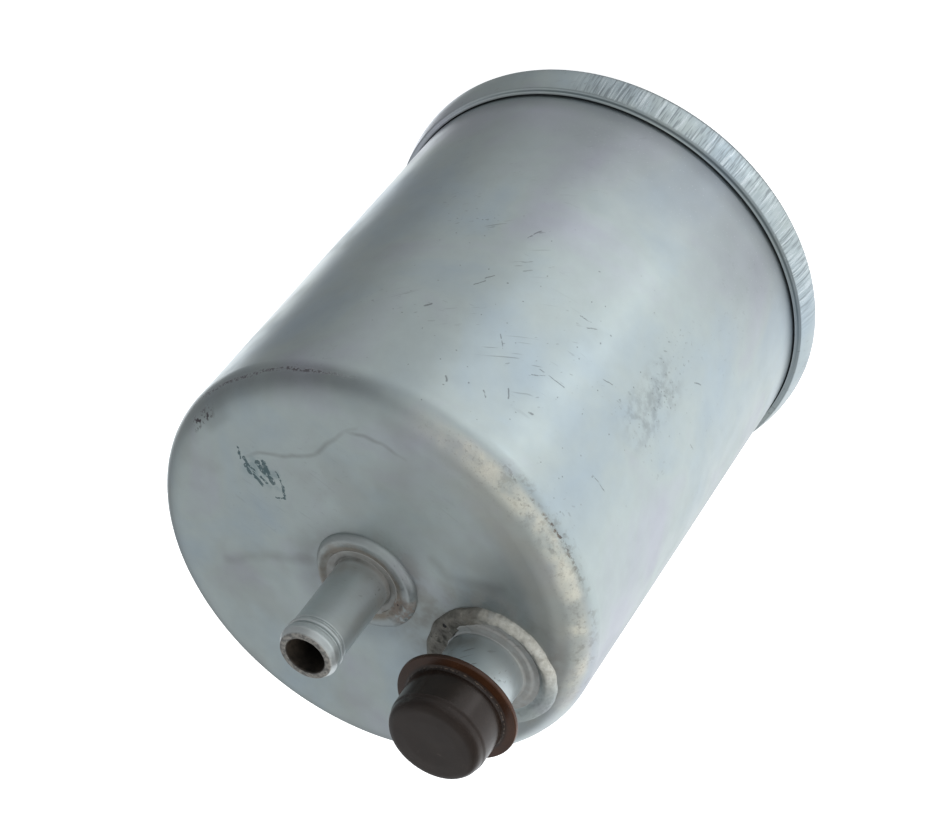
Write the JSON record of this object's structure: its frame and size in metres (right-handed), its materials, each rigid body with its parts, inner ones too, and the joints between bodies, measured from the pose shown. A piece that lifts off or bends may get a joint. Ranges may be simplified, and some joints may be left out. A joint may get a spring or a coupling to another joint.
{
  "type": "fuel filter",
  "caption": "Sealed metal canister fuel filter with a rolled seam at its base and welded hose spigots on its rounded end, the larger under a pull-off flanged cap.",
  "frame": {"origin": "on the can's axis, in the plane of the seam ring's lower face, on which the filter stands", "axes": "+Z along the can's axis towards the spigots; the inlet spigot with its cap is on the -X side"},
  "size_m": [0.0842, 0.0842, 0.1155],
  "materials": {
    "zinc_plate": "satin zinc plate on drawn steel, slightly stained",
    "spigot_steel": "satin zinc plate on a turned tube",
    "weld": "rough plated weld metal with brown oxide",
    "cap_plastic": "dark brown moulded plastic, semi-matte",
    "compound": "dark sealing compound",
    "seal_rubber": "black fuel-resistant rubber",
    "inner_steel": "plain stamped sheet",
    "potting": "cured adhesive",
    "filter_paper": "resin-treated filter paper",
    "wrap_board": "perforated wrap",
    "spring_steel": "bright spring wire"
  },
  "bodies": {
    "canister": {"can_shell": "zinc_plate", "base_lid": "zinc_plate", "seam_compound": "compound", "outlet_spigot": "spigot_steel", "outlet_weld": "weld", "inlet_spigot": "spigot_steel", "inlet_weld": "weld", "outlet_seal": "seal_rubber", "upper_end_disc": "inner_steel", "lower_end_disc": "inner_steel", "upper_potting": "potting", "lower_potting": "potting", "pleated_media": "filter_paper", "pleat_clip": "inner_steel", "centre_tube": "inner_steel", "outer_wrap": "wrap_board", "spring_pilot": "inner_steel", "support_spring": "spring_steel", "spring_seat": "inner_steel"},
    "cap": {"inlet_cap": "cap_plastic"}
  },
  "joints": [
    {"name": "cap_pull", "type": "slide", "parent": "canister", "child": "cap", "axis": [0, 0, 1], "range_m": [0, 0.03]}
  ]
}
